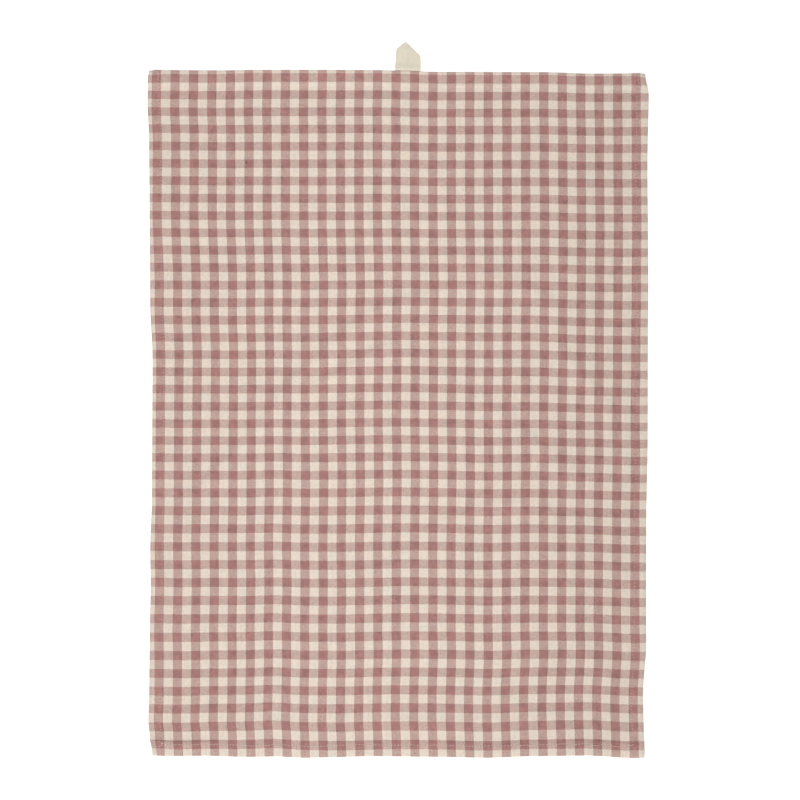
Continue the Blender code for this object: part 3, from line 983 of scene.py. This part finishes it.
def cloth_material():
    """Plain weave of rose and cream yarn, in stripes both ways. The yarn is uneven, as spun."""
    graph = Graph("gingham cloth")
    even_warp, even_weft = graph.uv("weave")
    warp_place = graph.plus(even_warp, graph.noise(even_warp, even_weft, WARP_WANDER))
    weft_place = graph.plus(even_weft, graph.noise(even_warp, even_weft, WEFT_WANDER))
    warp = graph.times(warp_place, WARP_THREADS)
    weft = graph.times(weft_place, WEFT_THREADS)
    warp_number = graph.math("FLOOR", warp)
    weft_number = graph.math("FLOOR", weft)
    warp_rose = graph.math("LESS_THAN", graph.math("FRACT", warp_place), 0.5)
    weft_rose = graph.math("LESS_THAN", graph.math("FRACT", weft_place), 0.5)
    warp_yarn = yarn(graph, warp_number, weft_place, WARP_SEED)
    weft_yarn = yarn(graph, weft_number, warp_place, WEFT_SEED)

    warp_height = thread_height(graph, warp, weft, warp_number)
    weft_height = thread_height(graph, weft, warp, graph.plus(weft_number, 1.0))
    warp_height = graph.plus(warp_height, graph.scaled(warp_yarn, YARN_HEIGHT, WARP_SHOWS))
    weft_height = graph.plus(weft_height, graph.times(weft_yarn, YARN_HEIGHT))
    warp_on_top = graph.math("GREATER_THAN", warp_height, weft_height)
    height = graph.math("MAXIMUM", warp_height, weft_height)

    def choose(where_warp, where_weft):
        """One value where the warp lies on top, and another where the weft does."""
        return graph.plus(where_weft, graph.times(warp_on_top, graph.minus(where_warp, where_weft)))

    both_rose = graph.times(warp_rose, weft_rose)
    top_rose = choose(warp_rose, weft_rose)
    under_rose = choose(weft_rose, warp_rose)
    rose = graph.math("MAXIMUM", top_rose, graph.times(under_rose, SHOW_THROUGH))
    colour = graph.mix(rose, CREAM, ROSE)

    # Light and dark yarn, soft mottling, one dark fibre, painted light on the side and top hems, and
    # painted shade between threads and along the seams.
    yarn_tone = choose(warp_yarn, weft_yarn)
    contrast = choose(graph.scaled(warp_rose, *WARP_CONTRAST), graph.scaled(weft_rose, *WEFT_CONTRAST))
    contrast = graph.scaled(both_rose, CHECK_CONTRAST, contrast)
    mottled = graph.scaled(both_rose, CHECK_MOTTLE, graph.scaled(top_rose, *ROSE_MOTTLE))
    mottle = graph.times(graph.noise(warp_place, weft_place, MOTTLE), mottled)
    tone = graph.plus(graph.scaled(yarn_tone, contrast, 1.0), mottle)
    # Painted light: rose yarn on the side and top hems is painted lighter.
    tone = graph.plus(tone, graph.times(on_hem_with_painted_light(graph), graph.times(top_rose, HEM_PAINTED_LIGHT)))
    # Painted shade between threads, deeper where a thread lies lower.
    painted_shade_and_fibre = graph.math("MINIMUM", graph.scaled(height, *HEIGHT_SHADE), 1.0)
    groove, holes = seam_marks(graph)
    # Painted shade in the seams' groove and in the needle's holes, and the darker colour of one dark
    # fibre.
    painted_shade_marks_and_fibre = ((groove, GROOVE_SHADE), (holes, NEEDLE_SHADE), (dark_fibre(graph), FIBRE_SHADE))
    for mark, depth in painted_shade_marks_and_fibre:
        painted_shade_and_fibre = graph.times(painted_shade_and_fibre, graph.scaled(mark, -depth, 1.0))
    colour = graph.toned(colour, graph.times(tone, painted_shade_and_fibre))
    dye = graph.noise(warp_place, weft_place, DYE)
    return graph.surface(
        Base_Color=graph.tinted(colour, graph.plus(1.0, dye), 1.0, graph.minus(1.0, dye)),
        Normal=graph.bump(graph.scaled(groove, -GROOVE_DEPTH, height), CLOTH_BUMP),
        Roughness=graph.scaled(yarn_tone, *CLOTH_ROUGHNESS),
        Specular_IOR_Level=0.35,
        Sheen_Weight=0.12,
        Sheen_Roughness=0.5,
    )


def tape_material():
    """Undyed cotton tape in a fine herringbone."""
    graph = Graph("cotton tape")
    across, along = graph.uv("weave")
    ribs = graph.waves(graph.times(graph.plus(along, graph.math("ABSOLUTE", across)), TAPE_RIBS))
    ribs = graph.times(ribs, TAPE_RIB_HEIGHT)
    height = graph.scaled(graph.waves(across, TAPE_STRANDS), TAPE_STRAND_HEIGHT, ribs)
    streak = graph.noise(across, along, TAPE_STREAKS)
    # Painted shade and light from the height of the ribs and strands, on top of the yarn's own streaks.
    tone = graph.scaled(height, TAPE_RIB_SHADE, graph.scaled(streak, *TAPE_TONE))
    return graph.surface(
        Base_Color=graph.toned(TAPE_CREAM, tone),
        Normal=graph.bump(height, TAPE_BUMP),
        Roughness=graph.scaled(streak, *TAPE_ROUGHNESS),
        Specular_IOR_Level=0.2,
        Sheen_Weight=0.1,
    )


def thread_material():
    """Twisted cotton sewing thread."""
    graph = Graph("sewing thread")
    along, around = graph.uv("thread")
    ply = graph.waves(graph.plus(graph.times(along, THREAD_TWISTS), graph.times(around, THREAD_PLIES)))
    streak = graph.noise(along, around, THREAD_STREAKS)
    # Painted shade and light from the ply wave, on top of the thread's own streaks.
    tone = graph.scaled(ply, THREAD_PLY_SHADE, graph.scaled(streak, *THREAD_TONE))
    return graph.surface(
        Base_Color=graph.toned(THREAD_CREAM, tone),
        Normal=graph.bump(ply, THREAD_BUMP),
        Roughness=0.7,
        Specular_IOR_Level=0.3,
    )


# -------- The surface, the light and the camera --------

FLOOR_SIZE = 40.0
FLOOR_Z = -0.0003  # just below the stitches on the underside
FLOOR_WHITE = (0.9, 0.9, 0.9, 1.0)
FLOOR_GLOW = 0.45

# Light from all round, a key from beyond the towel's bottom end, and a long soft box above its left half.
SKY_STRENGTH = 0.235
KEY_DIRECTION = (-0.14, -0.86, 0.90)
KEY_STRENGTH = 1.42
KEY_SOFTNESS = math.radians(25.0)
BOX_PLACE = (-0.065, -0.315, 0.7)
BOX_SIZE = (0.35, 2.4)
BOX_POWER = 6.35

CAMERA_HEIGHT = 3.2
VIEW_WIDTH = 0.808  # what the photo's frame spans at the surface
VIEW_CENTRE = (0.0017, 0.0005)
SENSOR_WIDTH = 36.0


def make_floor():
    bpy.ops.mesh.primitive_plane_add(size=FLOOR_SIZE, location=(0.0, 0.0, FLOOR_Z))
    floor = bpy.context.object
    floor.name = "floor"
    floor.data.materials.append(Graph("pale surface").surface(
        Base_Color=FLOOR_WHITE,
        Roughness=0.9,
        Specular_IOR_Level=0.0,
        Emission_Color=WHITE,
        Emission_Strength=FLOOR_GLOW,
    ))


def add_light(name, kind, strength, place, target):
    """A light at a place that looks at a target. It isn't seen itself."""
    light = bpy.data.lights.new(name, kind)
    light.energy = strength
    holder = bpy.data.objects.new(name, light)
    holder.location = place
    holder.rotation_euler = (Vector(target) - Vector(place)).to_track_quat("-Z", "Y").to_euler()
    holder.visible_camera = False
    bpy.context.scene.collection.objects.link(holder)
    return light


def make_light():
    world = bpy.data.worlds.new("soft light")
    world.use_nodes = True
    background = world.node_tree.nodes["Background"]
    background.inputs["Color"].default_value = WHITE
    background.inputs["Strength"].default_value = SKY_STRENGTH
    bpy.context.scene.world = world
    key = add_light("key", "SUN", KEY_STRENGTH, KEY_DIRECTION, (0.0, 0.0, 0.0))
    key.angle = KEY_SOFTNESS
    box = add_light("soft box", "AREA", BOX_POWER, BOX_PLACE, (BOX_PLACE[0], BOX_PLACE[1], 0.0))
    box.shape = "RECTANGLE"
    box.size, box.size_y = BOX_SIZE
    bpy.context.scene.view_settings.view_transform = "Standard"


def make_camera():
    data = bpy.data.cameras.new("camera")
    data.sensor_width = SENSOR_WIDTH
    data.lens = SENSOR_WIDTH * CAMERA_HEIGHT / VIEW_WIDTH
    data.clip_end = 2.0 * FLOOR_SIZE
    camera = bpy.data.objects.new("camera", data)
    camera.location = (*VIEW_CENTRE, CAMERA_HEIGHT)
    bpy.context.scene.collection.objects.link(camera)
    bpy.context.scene.camera = camera


def main():
    make_camera()
    cloth = make_cloth(cloth_material())
    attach(cloth, "root")
    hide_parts("towel_cloth")
    seams = make_seams(thread_material())
    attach(seams, "root")
    loop = make_hanging_loop(tape_material())
    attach(loop, "root")
    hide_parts("hanging_loop")
    tape_length = tape_lines(0.0)[-1] - TAPE_END_Y
    make_floor()
    make_light()


main()
